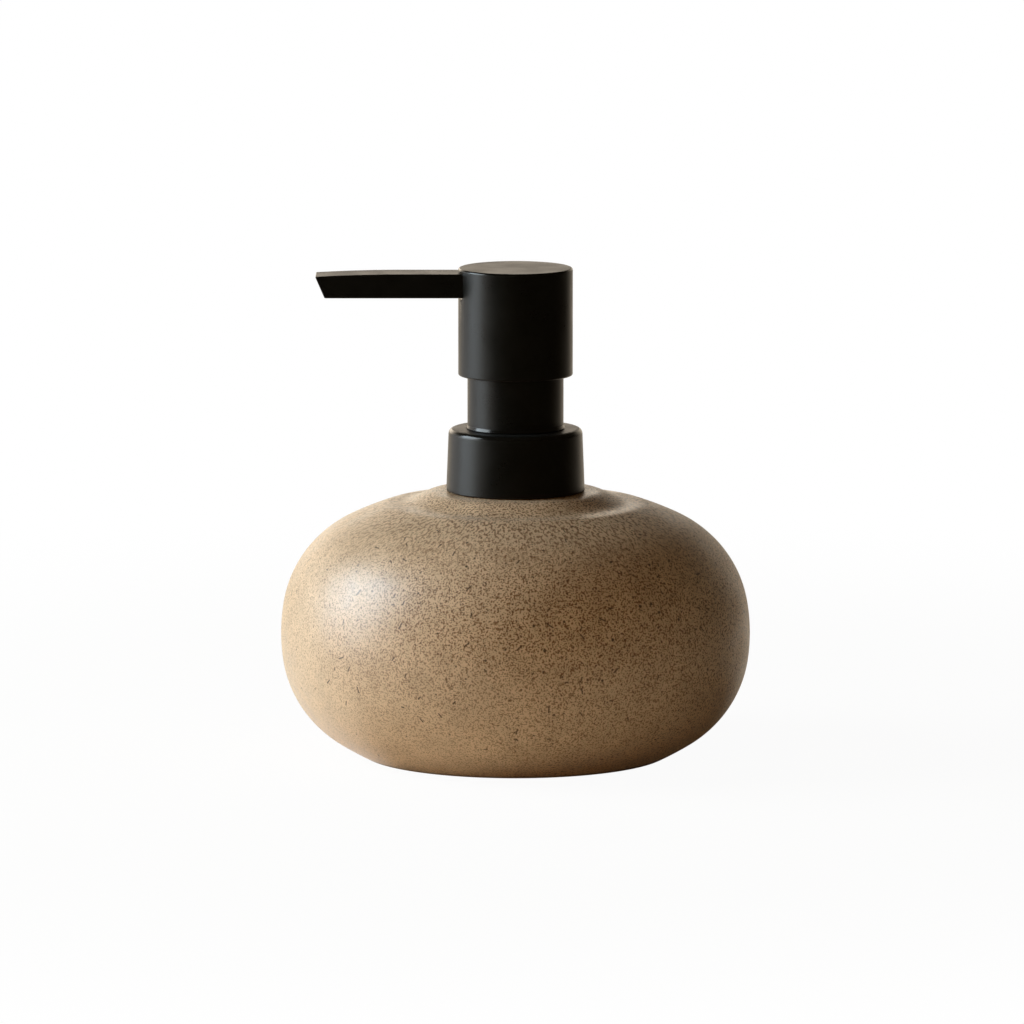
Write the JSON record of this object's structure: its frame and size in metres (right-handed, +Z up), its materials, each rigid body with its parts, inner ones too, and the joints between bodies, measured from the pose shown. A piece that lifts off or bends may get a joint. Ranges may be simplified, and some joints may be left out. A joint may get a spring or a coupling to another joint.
{
  "type": "soap pump dispenser",
  "caption": "Pebble-shaped stoneware bottle with a black press pump: a cylindrical head with a flat bar spout slides on a guide sleeve above a screw collar.",
  "frame": {"origin": "centre of the bottle's foot, on the surface it stands on", "axes": "+Z up along the pump's axis, spout along -X, -Y towards the viewer"},
  "size_m": [0.115, 0.115, 0.12],
  "materials": {
    "stoneware": "satin sand glaze with fine dark brown speckles",
    "black_plastic": "satin black moulded",
    "natural_plastic": "uncoloured moulded polypropylene",
    "tube_plastic": "milky extruded polyethylene",
    "seal_rubber": "soft matte",
    "steel": "bright drawn stainless"
  },
  "bodies": {
    "bottle": {"bottle": "stoneware", "base_disc": "stoneware", "neck_ferrule": "natural_plastic"},
    "pump_body": {"pump_housing": "natural_plastic", "stem_guide": "natural_plastic", "stem_wiper": "seal_rubber", "guide_sleeve": "black_plastic", "neck_gasket": "seal_rubber", "spring_seat": "natural_plastic", "return_spring": "steel", "dip_tube": "tube_plastic"},
    "collar": {"collar_shell": "black_plastic", "screw_cap": "natural_plastic"},
    "plunger": {"stem": "natural_plastic", "piston_seat": "natural_plastic"},
    "head": {"head_shell": "black_plastic", "actuator_core": "natural_plastic", "spout": "black_plastic"},
    "piston": {"piston": "natural_plastic"},
    "valve_ball": {"inlet_ball": "steel"}
  },
  "joints": [
    {"name": "pump_rise", "type": "slide", "parent": "bottle", "child": "pump_body", "axis": [0, 0, 1], "range_m": [0, 0.0074]},
    {"name": "collar_turn", "type": "hinge", "parent": "pump_body", "child": "collar", "pos_m": [0, 0, 0.073], "axis": [0, 0, 1], "range_deg": [0, 630]},
    {"name": "pump_press", "type": "slide", "parent": "pump_body", "child": "plunger", "axis": [0, 0, -1], "range_m": [0, 0.0115], "stiffness_N_per_m": 350, "springref_m": -0.0143, "deforming": ["return_spring"]},
    {"name": "head_swivel", "type": "hinge", "parent": "plunger", "child": "head", "pos_m": [0, 0, 0.107], "axis": [0, 0, 1], "continuous": true},
    {"name": "piston_float", "type": "slide", "parent": "plunger", "child": "piston", "axis": [0, 0, 1], "range_m": [0, 0.0012]},
    {"name": "ball_lift", "type": "slide", "parent": "pump_body", "child": "valve_ball", "axis": [0, 0, 1], "range_m": [0, 0.0012]}
  ],
  "couplings": [
    {"joint": "collar_turn", "follows": "pump_rise", "rad_per_m": 1484.3},
    {"joint": "piston_float", "follows": "pump_press", "ratio": 0.10435}
  ]
}
